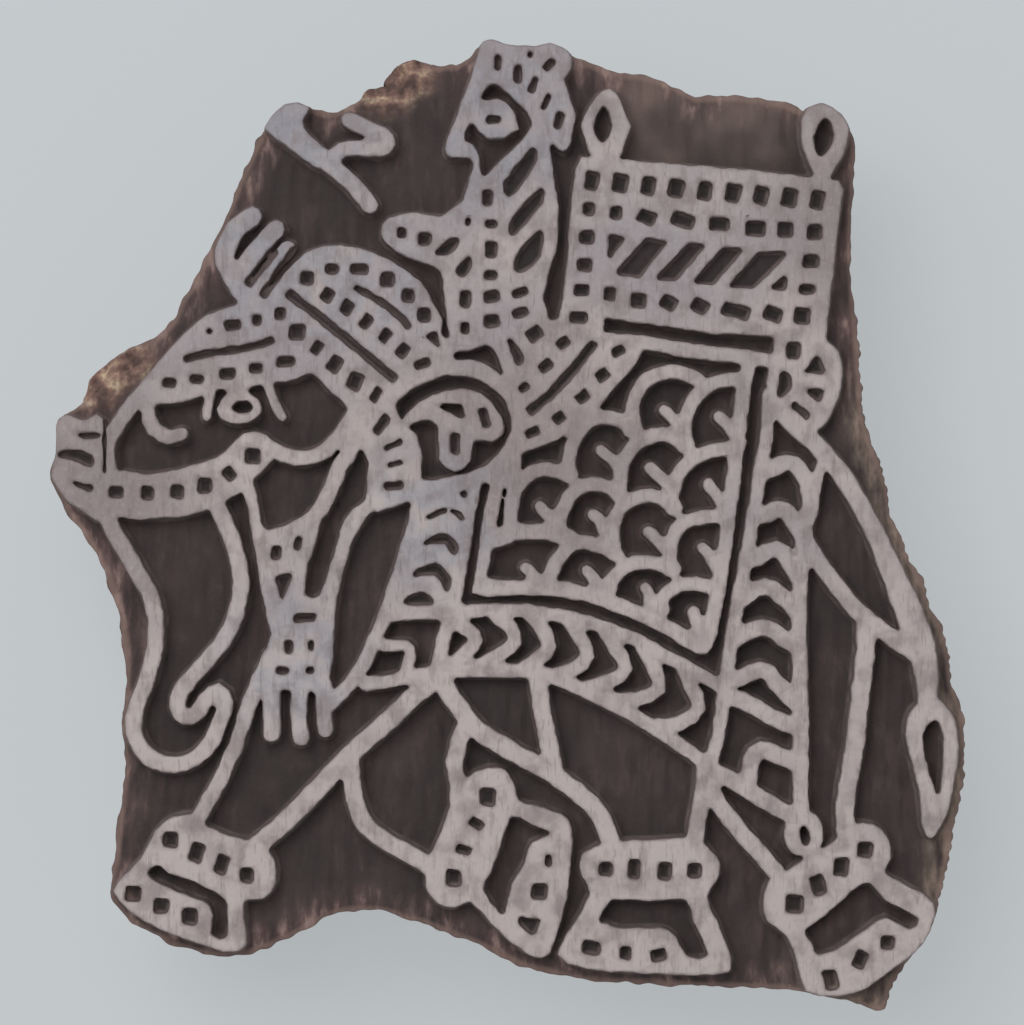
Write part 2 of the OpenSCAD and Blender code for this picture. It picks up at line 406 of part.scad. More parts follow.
// Hanging tassel with three strands
module tassel() {
    difference() {
        patch([[-53.2, 8], [-51.5, 3], [-50.6, -4], [-49.3, -11], [-48.2, -17], [-47, -22],
            [-48.5, -27], [-50.5, -32.5], [-47.5, -32], [-46, -33.2], [-40, -33],
            [-37, -34], [-35.2, -31], [-34.5, -24], [-34, -17], [-33, -11], [-31, -4],
            [-27.6, 1.6], [-25.6, 3.8], [-28.6, 4.4], [-32.3, 1], [-33.8, -4], [-36, -11], [-37.4, -14.3],
            [-40.3, -14.3], [-39.6, -8], [-37.3, -1], [-37, 3.5], [-40.5, 0.5],
            [-47.5, -1.8], [-49.3, 3], [-50.7, 9]]);
    }
    line([[-46.9, -32], [-46.9, -37], [-46.9, -42]], 1.2);
    line([[-41.2, -32], [-41.4, -38], [-41, -43]], 1.1);
    line([[-36.4, -32], [-36.5, -37], [-36.2, -41.3]], 1.08);
}
module tassel_cells() {
    dots([[-46, -5.7, 2.1, 3], [-41.6, -3.9, 1.6, 3.2, -10], [-43.5, -24.7, 1.9, 2.8],
        [-39, -24.4, 1.4, 2.3], [-44.6, -29.4, 2.8, 1.7], [-39.3, -29.3, 2, 1.7]]);
    polygon([[-46.3, -10.5], [-42.6, -9.6], [-43.1, -11.6], [-44.9, -16]]);
    polygon([[-42.2, -18], [-37.8, -17.8], [-38, -19.6], [-42.7, -19.8]]);
}

// Legs, and the tail with its tuft
module legs() {
    line([[-47.2, -26.4], [-49.3, -31], [-51.6, -36.5], [-53.9, -44], [-57.1, -51], [-61.5, -59]], 1);
    line([[-14, -31], [-19, -35], [-24, -39.8], [-31, -46], [-38, -53.3], [-44, -59.5],
        [-50, -64.5]], 1.3);
    line([[-31, -46], [-31, -51], [-30, -56], [-28, -60.4], [-23, -64.2], [-18, -66.8],
        [-13, -70]], 1.2);
    line([[-13.5, -30], [-11, -34.5], [-8.3, -38.2], [-5, -41.8], [2, -46], [9, -49.8],
        [14.5, -53.8], [18.8, -58.2], [21.2, -64]], 1.25);
    line([[-7.5, -39.5], [-9.4, -43.5], [-10.3, -48], [-9.6, -52]], 1.15);
    line([[6.2, -30], [7, -36], [8.2, -42], [9.6, -49.5]], 1.2);
    line([[39.5, -47.5], [39.6, -51], [39, -56], [38.2, -60], [38, -64]], 1.1);
    line([[40, -50], [42.5, -56], [46, -60.5], [50, -65], [54, -69.5]], 1.15);
    line([[59.8, -3], [62.5, -7.5], [66, -12.3], [69.5, -16.6], [73, -19.7],
        [77, -22.6], [82, -26]], 1.15);
    line([[72, -19.5], [72, -25], [71.3, -31], [70.5, -38], [69.8, -45], [68.4, -52],
        [67.8, -58], [68, -62]], 1.25);
    line([[53.5, 24], [58, 19.5], [62, 16], [65, 12.5], [68.5, 8], [71.3, 3],
        [74, -2], [76, -7.5], [78, -13], [80, -18.5], [82.5, -25], [84, -32], [84.5, -38]], 1.25);
    patch([[58, 20.5], [54, 24], [52, 28], [53.5, 34], [55, 40], [63.8, 42], [64, 37],
        [66.5, 34.5], [67.4, 30], [66.7, 25.5], [64.8, 21.5], [62, 18.4]]);
    patch([[73.4, 2.4], [76.6, -3], [79.5, -9], [82.5, -15], [85.5, -22.5], [86.3, -29],
        [86.2, -35], [83, -34], [80.5, -22], [76, -9], [72, 0]]);
    difference() {
        patch([[82.5, -36], [80.7, -38], [80, -42], [81.3, -48], [82.7, -54],
            [83.3, -60], [84.8, -63], [87, -60.5], [89, -55.5], [90.3, -48],
            [90.4, -42], [88.8, -37.5], [85.5, -34.5]]);
        patch([[85, -39.2], [83.4, -42.5], [84.2, -48], [86.5, -55], [87.5, -48.5],
            [87.6, -43], [86.6, -39.8]]);
    }
}
module leg_cells() {
    dots([[57.5, 34.6, 3, 3.6]]);
    polygon([[59.2, 30.1], [64.2, 30], [62.4, 34.2]]);
    polygon([[59.2, 27.4], [63.9, 26.9], [62.8, 24]]);
    slit([[57.2, 24], [60.6, 21.4]], 1.5);
    patch([[55.3, 30.9], [57.2, 29.2], [56.7, 26.5], [54.4, 25.1], [54.5, 28]]);
}

// Four feet, each an anklet with four cells over a hoof with three
module foot1() {
    patch([[-62, -58], [-67, -58.7], [-70.4, -61.8], [-72.8, -66.5], [-76, -70],
        [-78.5, -73.5], [-75, -77.5], [-70.5, -80.5], [-64, -83.2], [-59, -84.8], [-54.5, -85.8],
        [-52, -84], [-52.2, -80], [-52.3, -75.4], [-48.5, -75], [-46, -71.5],
        [-46.3, -67.5], [-48.3, -64.5], [-51.5, -63.4], [-55, -62.5], [-60, -60.4]]);
}
module slot1() {
    patch([[-72, -70], [-69.6, -68.2], [-67.5, -69.9], [-62, -71.8], [-57.5, -74.2],
        [-55.9, -76], [-55.9, -82.8], [-59.2, -82.2], [-58.6, -78.4], [-60.5, -75.4],
        [-65, -74], [-68.5, -72.3]]);
}
module foot2() {
    patch([[-11.2, -50], [-8, -51.2], [-6.2, -49.6], [-3.5, -48.6], [-0.5, -49.2],
        [1.6, -51.8], [2.3, -55.3], [6, -56.3], [11, -58.1], [13.2, -61], [13, -67],
        [12.4, -74], [10.5, -81], [8.6, -86], [5.5, -86.6], [1.6, -84.2], [-3, -80],
        [-7, -75.6], [-10.5, -77], [-13.8, -75.9], [-16, -72.4], [-15.6, -67.5],
        [-13.4, -62.5], [-11.2, -56.5]]);
}
module slot2() {
    patch([[0.9, -58.5], [5, -60.2], [9.5, -62.1], [5, -63.6], [3.9, -67.5], [1.2, -72],
        [0.2, -76], [-0.8, -78.2], [-4.4, -73.2], [-3.2, -70], [-0.8, -64]]);
}
module foot3() {
    patch([[21, -63.6], [30, -63.2], [38, -63], [42, -66.5], [42.8, -70], [40.2, -74.6],
        [42.3, -79.5], [44.2, -84.5], [44.8, -89.6], [36, -90.2], [26, -89.8], [16, -89],
        [10.4, -86.2], [13, -81], [16.8, -74], [15, -70.2], [15.5, -66]]);
}
module slot3() {
    patch([[21, -75.3], [28, -75.5], [36.2, -75.3], [37.5, -79.6], [40.6, -86.4],
        [36, -86.6], [34, -82.6], [30.6, -80.8], [23, -81], [20, -79.8], [18.6, -79.5]]);
}
module foot4() {
    patch([[69, -60.2], [73.5, -60.1], [76.3, -62.8], [77.1, -66.8], [75.8, -69.8],
        [80, -72.2], [85.6, -76], [85, -81], [82, -85.6], [77, -89.4], [72, -93],
        [66.5, -94.5], [60, -93.4], [58.2, -87.5], [56, -82.2], [52.4, -79.6],
        [51.4, -76], [52.8, -71.2], [56.5, -69.3], [61, -66.2], [64.8, -64.2]]);
}
module slot4() {
    patch([[59.8, -81.4], [64, -78.2], [69, -73.7], [72.8, -71.8], [76, -75.4],
        [82.6, -78.8], [80.8, -81.2], [76, -78.7], [72, -81.2], [66.2, -85.2],
        [62.2, -86.3], [61.2, -84]]);
}
module foot_cells() {
    dots([[-67.1, -63.3, 3.2, 3.4], [-61.9, -65.8, 3, 4.2, -15], [-56.9, -68.2, 2.9, 4.2, -15],
        [-51.9, -70.3, 2.9, 3.4], [-74.6, -74, 3.6, 3.6], [-69, -76.5, 3.2, 3.1],
        [-63.3, -78.6, 3.4, 3.6], [-3.6, -54.7, 3.3, 3.8], [-6, -60, 3.3, 2.2, -30],
        [-8.5, -65.2, 3.6, 2, -15], [-10.4, -70.8, 3.2, 3.6], [20, -69.1, 2.9, 3.1],
        [25.7, -69.1, 2.6, 4.3], [31.8, -69.6, 2.9, 3.8], [37.7, -69.4, 2.9, 3.2],
        [17.1, -84.8, 4, 3, -5], [23.9, -85.9, 2.6, 3.1], [30.6, -86.2, 3.4, 2.8, 15],
        [71.8, -65.2, 3.4, 3.4], [67, -68.7, 3.3, 4], [62.5, -72.3, 3.2, 4.5, 20],
        [57.8, -76.1, 3.8, 4], [76.4, -83.8, 3, 2.9], [71, -87.2, 2.9, 3.8, -20],
        [65, -91.2, 3, 4.4, 15], [6.7, -73.6, 3.4, 3.4], [8.5, -67.4, 1.6, 2.6]]);
    polygon([[2.6, -78.4], [7, -79.1], [6.1, -82], [4.9, -82.4], [2.5, -79.8]]);
}

// All that prints, with its cells still filled
module picture() {
    difference() {
        union() {
            head();
            jaw();
            trunk();
            goad();
            rider();
            howdah();
            cloth();
            straps();
            tassel();
            legs();
            foot1();
            foot2();
            foot3();
            foot4();
        }
        slot1();
        slot2();
        slot3();
        slot4();
        slit([[-3.9, 8.2], [-4.9, 4], [-6, -3], [-7.6, -13], [-8.3, -16]], 1.6);
    }
}
// Puts a drawing on the block, and drops slivers that are too thin to carve
module place() {
    offset(delta = 0.1 + eps) offset(delta = -0.1)
        scale([k, k, k]) translate(-mid) children();
}
// Straight-walled solid from a level upwards
module raise(z, h) { translate([0, 0, z]) linear_extrude(h) place() children(); }

// Nail along Z, from its head up to its point
module nail_shape(gap) {
    len_all = shoulder_h - head_sink + nail_grip;
    rotate_extrude($fn = 24)
        polygon([[0, 0], [nail_head_d / 2 + gap, 0], [nail_head_d / 2 + gap, nail_head_t],
            [nail_d / 2 + gap, nail_head_t], [nail_d / 2 + gap, len_all - nail_tip],
            [0, len_all]]);
}
module nail(sx, sy) {
    color("DimGray")
        translate([sx * nail_x, sy * nail_pitch / 2, z_shoulder + head_sink])
            nail_shape(0);
}
module nail_bores() {
    for (sx = [-1, 1], sy = [-1, 1])
        translate([sx * nail_x, sy * nail_pitch / 2, z_shoulder]) {
            translate([0, 0, -1])
                cylinder(h = 1 + head_sink + nail_head_t, d = nail_head_d + 2 * fit, $fn = 24);
            cylinder(h = shoulder_h + nail_grip + 0.3, d = nail_d + 2 * fit, $fn = 24);
        }
}

// Block with the outline of the picture raised, then its inner ground cut out
module carved_block() {
    color("RosyBrown")
        difference() {
            union() {
                translate([0, 0, z_back])
                    linear_extrude(z_ground - z_back)
                        scale([k, k, k]) translate(-mid) polygon(rim);
                raise(z_ground - 1, ground_depth + 1)
                    fill() intersection() {
                        picture();
                        polygon(rim);
                    }
            }
            raise(z_ground, ground_depth + 1)
                difference() {
                    fill() picture();
                    picture();
                }
            raise(z_face - cell_depth, cell_depth + 1) head_cells();
            raise(z_face - cell_depth, cell_depth + 1) jaw_cells();
            raise(z_face - cell_depth, cell_depth + 1) rider_cells();
            raise(z_face - cell_depth, cell_depth + 1) howdah_cells();
            raise(z_face - cell_depth, cell_depth + 1) strap_cells();
            raise(z_face - cell_depth, cell_depth + 1) tassel_cells();
            raise(z_face - cell_depth, cell_depth + 1) leg_cells();
            raise(z_face - cell_depth, cell_depth + 1) foot_cells();
            nail_bores();
        }
}

// Handle: a bar seen from the side, cut down to the rounded grip seen from its end
module handle() {
    half = handle_l / 2;
    in = half - shoulder_l;
    side = handle_w / 2;
    color("SaddleBrown")
        difference() {
            intersection() {
                rotate([90, 0, 0])
                    linear_extrude(handle_w + 2, center = true)
                        polygon([[-half, handle_h], [-half, z_shoulder], [-in, z_shoulder],
                            [lean - in, 0], [in - lean, 0], [in, z_shoulder],
                            [half, z_shoulder], [half, handle_h]]);
                rotate([90, 0, 90])
                    linear_extrude(handle_l + 2, center = true)
                        polygon([[-side, handle_h], [-side, 8], [2 - side, 3], [6 - side, 0],
                            [side - 6, 0], [side - 2, 3], [side, 8], [side, handle_h]]);
            }
            rotate([90, 0, 0])
                linear_extrude(handle_w + 4, center = true)
                    finger_gap();
            nail_bores();
        }
}
// Opening for the fingers, seen from the side, with rounded lower corners
module finger_gap() {
    r = 7;
    polygon(concat(
        [[gap_l / 2, handle_h + 1], [-gap_l / 2, handle_h + 1]],
        [for (a = [180 : 15 : 270]) [-gap_l / 2 + r + r * cos(a), grip_t + r + r * sin(a)]],
        [for (a = [270 : 15 : 360]) [gap_l / 2 - r + r * cos(a), grip_t + r + r * sin(a)]]));
}

module nail_left_front() { nail(-1, -1); }
module nail_left_back() { nail(-1, 1); }
module nail_right_front() { nail(1, -1); }
module nail_right_back() { nail(1, 1); }

carved_block();
handle();
nail_left_front();
nail_left_back();
nail_right_front();
nail_right_back();
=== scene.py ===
# %% [markdown]
# A carved block for printing cloth
#
# The block lies on its handle with the printing face up. It is one thick piece of hardwood.
# The picture stands 5 mm above a gouged ground, and years of colour have left a pale, chalky
# skin on the tops of the lines. A wooden handle is nailed to the back.
#
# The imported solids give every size, so loading them comes first. This lesson then dresses them:
# the block's mesh gets worn edges, leaning walls, a gouged ground and chopped sides, the handle
# gets the roundness that a hand gives it, and the nails get hammered heads.

import json
import math

import bmesh
import bpy
import numpy as np
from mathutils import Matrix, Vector, kdtree, noise

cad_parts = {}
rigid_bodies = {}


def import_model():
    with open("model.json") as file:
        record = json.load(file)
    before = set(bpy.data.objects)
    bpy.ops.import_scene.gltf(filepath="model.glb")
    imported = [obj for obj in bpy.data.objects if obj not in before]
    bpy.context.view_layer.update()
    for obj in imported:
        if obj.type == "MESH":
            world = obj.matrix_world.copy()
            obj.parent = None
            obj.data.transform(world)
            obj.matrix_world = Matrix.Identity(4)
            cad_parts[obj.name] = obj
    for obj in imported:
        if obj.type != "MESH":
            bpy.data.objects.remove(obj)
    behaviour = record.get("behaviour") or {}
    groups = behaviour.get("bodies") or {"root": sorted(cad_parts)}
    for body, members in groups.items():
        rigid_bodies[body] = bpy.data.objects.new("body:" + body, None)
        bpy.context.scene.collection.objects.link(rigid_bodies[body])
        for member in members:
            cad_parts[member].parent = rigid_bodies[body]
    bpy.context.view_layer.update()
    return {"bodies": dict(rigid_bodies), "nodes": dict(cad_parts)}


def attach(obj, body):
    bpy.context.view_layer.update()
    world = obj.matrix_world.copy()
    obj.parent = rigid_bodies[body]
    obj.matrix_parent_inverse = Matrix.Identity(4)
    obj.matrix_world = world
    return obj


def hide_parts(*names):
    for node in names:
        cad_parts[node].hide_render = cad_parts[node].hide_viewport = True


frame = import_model()
print("nodes:", ", ".join(sorted(frame["nodes"])))

# %% [markdown]
# Every size is in metres in Blender, but a carver thinks in millimetres. One constant turns
# millimetres into metres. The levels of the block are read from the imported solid, counted up
# from the floor that the handle rests on, and the ground and the small cells lie below the
# face by the two depths of the relief. The places of the nails are read too.

# %% Sizes and levels
MM = 0.001


def span_mm(node, axis):
    places = [v.co[axis] / MM for v in frame["nodes"][node].data.vertices]
    return round(min(places), 1), round(max(places), 1)


GROUND_DEPTH = 5
CELL_DEPTH = 3
back_mm, face_mm = span_mm("carved_block", 2)
Z_BACK = back_mm * MM
Z_GROUND = (face_mm - GROUND_DEPTH) * MM
Z_CELL = (face_mm - CELL_DEPTH) * MM
Z_FACE = face_mm * MM
NAIL_X, NAIL_Y = (round(sum(span_mm("nail_right_back", axis)) / 2) * MM for axis in (0, 1))
print("nails at", round(NAIL_X / MM, 1), "and", round(NAIL_Y / MM, 1), "mm from the middle")
print("printing face at", round(Z_FACE / MM, 1), "mm, ground at", round(Z_GROUND / MM, 1), "mm")

# %% [markdown]
# Modelling by hand means: choose some faces or edges, then use one tool on them. The helper
# below chooses elements of the piece in edit mode by a test on each one, and tells how many
# it found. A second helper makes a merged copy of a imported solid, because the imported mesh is
# loose triangles and must stay as it is.

# %% Helpers for modelling
def choose(kind, test):
    bpy.ops.mesh.select_mode(type={"verts": "VERT", "edges": "EDGE", "faces": "FACE"}[kind])
    bpy.ops.mesh.select_all(action="DESELECT")
    mesh = bpy.context.object.data
    bm = bmesh.from_edit_mesh(mesh)
    found = [e for e in getattr(bm, kind) if test(e)]
    for e in found:
        e.select_set(True)
    bm.select_flush_mode()
    bmesh.update_edit_mesh(mesh)
    return len(found)


def merged_copy(node, name, gap):
    source = frame["nodes"][node]
    piece = bpy.data.objects.new(name, source.data.copy())
    bpy.context.scene.collection.objects.link(piece)
    piece.data.materials.clear()
    bpy.ops.object.select_all(action="DESELECT")
    bpy.context.view_layer.objects.active = piece
    piece.select_set(True)
    bpy.ops.object.mode_set(mode="EDIT")
    bpy.ops.mesh.select_all(action="SELECT")
    bpy.ops.mesh.remove_doubles(threshold=gap)
    bpy.ops.object.mode_set(mode="OBJECT")
    print(name, "starts with", len(piece.data.vertices), "vertices")
    return piece


# %% [markdown]
# The carved block
#
# Before the block's mesh is changed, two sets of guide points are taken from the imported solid,
# seen from above: points along every carved wall, and points along the block's outer side with
# the direction in which the side faces. Later steps ask how far a point of the wood is from
# the nearest wall or from the outer side.

# %% Guide points
block = merged_copy("carved_block", "carved_wood", 0.02 * MM)
solid = bmesh.new()
solid.from_mesh(block.data)
solid.normal_update()


def guides(test, spacing):
    points = []
    for f in solid.faces:
        if abs(f.normal.z) < 0.3 and test(f):
            out = f.normal.xy.normalized()
            for e in f.edges:
                a, b = (v.co for v in e.verts)
                if abs(a.z - b.z) < 0.1 * MM:
                    steps = max(1, math.ceil((a - b).length / spacing))
                    for i in range(steps + 1):
                        points.append((a.lerp(b, i / steps).xy, out))
    return points


def plan_tree(points):
    tree = kdtree.KDTree(len(points))
    for i, (p, out) in enumerate(points):
        tree.insert((p.x, p.y, 0), i)
    tree.balance()
    return tree


def by_nail(x, y):
    return abs(abs(x) - NAIL_X) < 4 * MM and abs(abs(y) - NAIL_Y) < 4 * MM


def is_outer(f):
    c = f.calc_center_median()
    return min(v.co.z for v in f.verts) < Z_BACK + 1 * MM and not by_nail(c.x, c.y)


walls = guides(lambda f: f.calc_center_median().z > Z_GROUND + 0.5 * MM, 0.5 * MM)
rim = guides(is_outer, 0.5 * MM)
wall_tree, rim_tree = plan_tree(walls), plan_tree(rim)
clear = [min(1.0, wall_tree.find((p.x, p.y, 0))[2] / (1.8 * MM)) for p, out in rim]
solid.free()
print(len(walls), "points along walls,", len(rim), "points along the outer side")

# %% [markdown]
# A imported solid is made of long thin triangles, which can't be bent into tool marks. It could be
# cut up by subdividing, but that keeps the thin triangles. So the block gets an even skin
# instead: a voxel remesh of 0.4 mm squares, fine enough for the smallest cell of 2 mm. The skin
# is heavy, but it is only a working state, and it is thinned at the end.

# %% Even skin
SKIN = 0.4 * MM


def use_modifier(piece, kind, **settings):
    m = piece.modifiers.new(kind.lower(), kind)
    for name, value in settings.items():
        setattr(m, name, value)
    bpy.ops.object.modifier_apply(modifier=m.name)


use_modifier(block, "REMESH", mode="VOXEL", voxel_size=SKIN)
count = len(block.data.vertices)
co = np.empty(count * 3)
block.data.vertices.foreach_get("co", co)
co = co.reshape(-1, 3)
normal = np.empty(count * 3)
block.data.vertex_normals.foreach_get("vector", normal)
normal = normal.reshape(-1, 3)
print("skin of", count, "points")

# %% [markdown]
# The outer side was chopped to the picture's outline with a gouge, straight down, so it is a
# band of upright flutes, 5 to 8 mm wide. On the right the cuts follow one another every 2.3 mm.
# In two places at the upper left the outside of the log still shows as lumps of bark.
#
# The flutes could be sculpted with a brush. A rule for the depth of the cut at each point does
# the same and gives the same result each time. The move is measured from the nearest rim point
# and fades inwards over 2.5 mm, so the edges of the ground and of the back come along. Where a
# printed line runs close to the side, the side stays where it is.

# %% Chopped side
BARK_SPOTS = [(-79 * MM, 30 * MM), (-23 * MM, 90 * MM)]
BARK_REACH = 11 * MM
BARK_CORE = 0.4 * BARK_REACH
FLUTES_HALF_ROUND = 36
FINE_CUT = 2.3 * MM
SIDE_REACH = 2.5 * MM


def bark(x, y):
    away = min(math.hypot(x - a, y - b) for a, b in BARK_SPOTS)
    return max(0.0, 1 - away / BARK_REACH)


def flutes(x, y, z):
    upright = z * 0.22
    fine = noise.noise(Vector((x, y, upright)) / FINE_CUT)
    broad = noise.noise(Vector((x, y, upright)) / (8 * MM))
    low = noise.noise(Vector((x, y, z)) / (14 * MM))
    depth = (Z_GROUND - z) / (Z_GROUND - Z_BACK)
    move = 0.6 * fine + 0.6 * broad + 1.1 * depth * low + 0.3
    if x > 50 * MM and y < 42 * MM:
        cut = math.pi * (y + 0.25 * x + 0.1 * z) / FINE_CUT + 3 * broad
        move += 0.42 * abs(math.sin(cut)) - 0.3
    else:
        turn = FLUTES_HALF_ROUND * math.atan2(y, x) + 5 * broad
        move -= 0.8 * min(1.0, 2 * depth) * abs(math.sin(turn))
    knobs = noise.noise(Vector((x, y, z)) / (4.2 * MM))
    return (move + bark(x, y) * (0.9 + 2.2 * knobs)) * MM


body = np.flatnonzero(co[:, 2] < Z_GROUND + 0.1 * MM)
moved = 0
for i in body:
    x, y, z = co[i]
    if by_nail(x, y):
        continue
    _, index, away = rim_tree.find((x, y, 0))
    fade = 1 - away / SIDE_REACH
    if fade > 0:
        out = rim[index][1]
        hold = clear[index] if z > Z_GROUND - 6 * MM else 1.0
        push = flutes(x, y, z) * fade * hold
        co[i, 0] += out.x * push
        co[i, 1] += out.y * push
        moved += 1
print(moved, "of", len(body), "body points moved")

# %% [markdown]
# The ground was cleared with a small gouge in rows 3.6 mm apart, mostly along the grain, and it
# falls off towards the edge of the block so that it never prints. Where bark is left it falls
# off more, in lumps. The top of the outer side comes down with the ground. A bump in the
# material could draw the rows, but they would vanish from the side, so the points move.

# %% Gouged ground
GOUGE_ROW = 3.6 * MM
RIM_FALL = 3 * MM
BARK_FALL = 7 * MM


def scallop(x, y):
    across = x + 2.2 * MM * noise.noise(Vector((x, y, 0.005)) / (14 * MM))
    row = abs(math.sin(math.pi * across / GOUGE_ROW))
    dig = noise.noise(Vector((x / 2.2, y / 9, 0.02)) / MM)
    rough = noise.noise(Vector((x, y, 0.09)) / (2.4 * MM))
    return (0.3 * row + 0.35 * dig + 0.15 * rough) * MM


def ground_drop(x, y):
    from_wall = wall_tree.find((x, y, 0))[2]
    from_rim = rim_tree.find((x, y, 0))[2]
    open_here = min(1.0, from_wall / (1.5 * MM))
    drop = scallop(x, y) * (0.3 + 0.7 * open_here)
    if from_rim < RIM_FALL:
        lump = 0.5 + abs(noise.noise(Vector((x, y, 0.03)) / (5 * MM)))
        drop += 1.2 * MM * (1 - from_rim / RIM_FALL) ** 1.5 * lump * open_here
    sloped = bark(x, y) * max(0.0, 1 - from_rim / BARK_FALL) * open_here
    if sloped > 0:
        lump = noise.noise(Vector((x, y, 0.11)) / (3.2 * MM))
        drop += (2.2 + 2.4 * lump) * MM * sloped
    return drop


SIDE_FADE = 6 * MM
floor_like = (abs(co[:, 2] - Z_GROUND) < 0.3 * MM) & (normal[:, 2] > 0.6)
side_like = (co[:, 2] > Z_GROUND - SIDE_FADE) & (co[:, 2] < Z_GROUND + 0.1 * MM) & ~floor_like
ground = np.flatnonzero(floor_like | side_like)
for i in ground:
    x, y, z = co[i]
    share = min(1.0, 1 - (Z_GROUND - z) / SIDE_FADE)
    co[i, 2] -= ground_drop(x, y) * share
print(len(ground), "ground points")

# %% [markdown]
# The walls of a printed line lean a little, being wider at the foot so that the line is strong,
# and they waver as a hand-cut edge does. Here and there the top edge is nicked. Each wall point
# moves along its own normal, which needs no choice of edges and works in every small cell.

# %% Leaning, wavering walls
LEAN_MM = 0.3
WAVER_MM = 0.28
NICK_MM = 1.1
upper = (co[:, 2] > Z_GROUND - 0.1 * MM) & (co[:, 2] < Z_FACE + 0.1 * MM)
wall = np.flatnonzero(upper & (abs(normal[:, 2]) < 0.85))
for i in wall:
    x, y, z = co[i]
    lean = LEAN_MM * (Z_FACE - z) / (Z_FACE - Z_GROUND)
    waver = WAVER_MM * noise.noise(Vector((x, y, z * 0.15)) / (2.1 * MM))
    co[i, :2] += normal[i, :2] * (lean + waver) * MM
top = np.flatnonzero(co[:, 2] > Z_FACE - 0.3 * MM)
for i in top:
    x, y, z = co[i]
    nick = noise.noise(Vector((x, y, 0.07)) / (1.7 * MM)) - 0.25
    if nick > 0:
        from_wall = wall_tree.find((x, y, 0))[2]
        co[i, 2] -= nick * max(0.0, 1 - from_wall / (NICK_MM * MM)) * NICK_MM * MM
print(len(wall), "wall points,", len(top), "top points")

# %% [markdown]
# Scrubbing and printing wear every crisp edge. A bevel would have to find thousands of edges, but
# three rounds of smoothing round them all by about half a millimetre. Then the skin is thinned
# where it is flat, and flat faces are given the say over the shading, so the tops stay level to
# the eye.

# %% Worn edges, thinner skin
TRIANGLES = 190000
block.data.vertices.foreach_set("co", co.ravel())
block.data.update()
use_modifier(block, "SMOOTH", factor=0.5, iterations=3)
use_modifier(block, "DECIMATE", ratio=TRIANGLES / (2 * len(block.data.polygons)))
bpy.ops.object.shade_smooth()
use_modifier(block, "WEIGHTED_NORMAL", mode="FACE_AREA", weight=60, keep_sharp=False)
block.data.calc_loop_triangles()
print("carved wood has", len(block.data.loop_triangles), "triangles")

# %% [markdown]
# Dye and painted shade gather along walls, and the dye wears off at the rim, so the material must
# know where they are. A painted map could say so, but a number kept with each point is exact: how
# far it is from the nearest wall, and how far from the outer side, in millimetres and seen from above.

# %% Distances for the material
FARTHEST = 8.0
from_wall = block.data.attributes.new("from_wall", "FLOAT", "POINT")
from_rim = block.data.attributes.new("from_rim", "FLOAT", "POINT")
for i, v in enumerate(block.data.vertices):
    spot = (v.co.x, v.co.y, 0)
    from_wall.data[i].value = min(FARTHEST, wall_tree.find(spot)[2] / MM)
    from_rim.data[i].value = min(FARTHEST, rim_tree.find(spot)[2] / MM)
print("distances kept with", len(block.data.vertices), "points")

# %% [markdown]
# The handle
#
# The handle's form is right in the solids, but its edges are sharp. On a used block a hand has
# rounded them, so all sharp edges that aren't part of a nail hole or of the seat on the block
# are bevelled. Smoothing as on the block would also shrink the fitted seat, and a bevel leaves
# it alone. Flat faces are given the say over the shading here too.

# %% Rounded handle
ROUNDING = 1.1 * MM
handle = merged_copy("handle", "hand_worn_handle", 0.01 * MM)
bpy.ops.object.mode_set(mode="EDIT")
bpy.ops.mesh.select_all(action="SELECT")
bpy.ops.mesh.dissolve_limited(angle_limit=math.radians(1))


def is_handle_edge(e):
    if len(e.link_faces) != 2 or e.calc_face_angle() < math.radians(20):
        return False
    seat = all(v.co.z > Z_BACK - 0.1 * MM for v in e.verts)
    return not seat and not any(by_nail(v.co.x, v.co.y) for v in e.verts)


worn_edges = choose("edges", is_handle_edge)
bpy.ops.mesh.bevel(offset=ROUNDING, segments=3, affect="EDGES", clamp_overlap=True)
bpy.ops.object.mode_set(mode="OBJECT")
bpy.ops.object.shade_smooth_by_angle(angle=math.radians(32))
use_modifier(handle, "WEIGHTED_NORMAL", mode="FACE_AREA", weight=60, keep_sharp=True)
print(worn_edges, "handle edges rounded")

# %% [markdown]
# The nails
#
# Each nail was forged by hand: a flat round head with hammer marks, a shank and a drawn point.
# It could be turned from a profile, but the hammer marks need faces on the head. So the nail is
# modelled from a short cylinder, which becomes the head. Its far face is inset and pulled out
# to make the shank and the point, and its outer face is hammered into a low dome.

# %% One forged nail
HEAD_R = 3.2 * MM
HEAD_Z = span_mm("nail_left_front", 2)[0] * MM
HEAD_T = 1.4 * MM
SHANK_R = 1.4 * MM
SHANK_L = 21.4 * MM
POINT_L = 3.8 * MM
DENT = 1.6 * MM
bpy.ops.object.select_all(action="DESELECT")
bpy.ops.mesh.primitive_cylinder_add(vertices=28, radius=HEAD_R, depth=HEAD_T,
                                    location=(-NAIL_X, -NAIL_Y, HEAD_Z + HEAD_T / 2))
nail = bpy.context.object
nail.name = "forged_nail_1"
bpy.ops.object.transform_apply(location=True, rotation=True, scale=True)
bpy.ops.object.mode_set(mode="EDIT")
choose("faces", lambda f: f.normal.z > 0.9)
bpy.ops.mesh.inset(thickness=HEAD_R - SHANK_R, depth=0)
bpy.ops.mesh.extrude_region_move(TRANSFORM_OT_translate={"value": (0, 0, SHANK_L)})
bpy.ops.mesh.extrude_region_move(TRANSFORM_OT_translate={"value": (0, 0, POINT_L)})
tip = (-NAIL_X, -NAIL_Y, HEAD_Z + HEAD_T + SHANK_L + POINT_L)
bpy.ops.transform.resize(value=(0.12, 0.12, 1), center_override=tip)
choose("faces", lambda f: f.normal.z < -0.9)
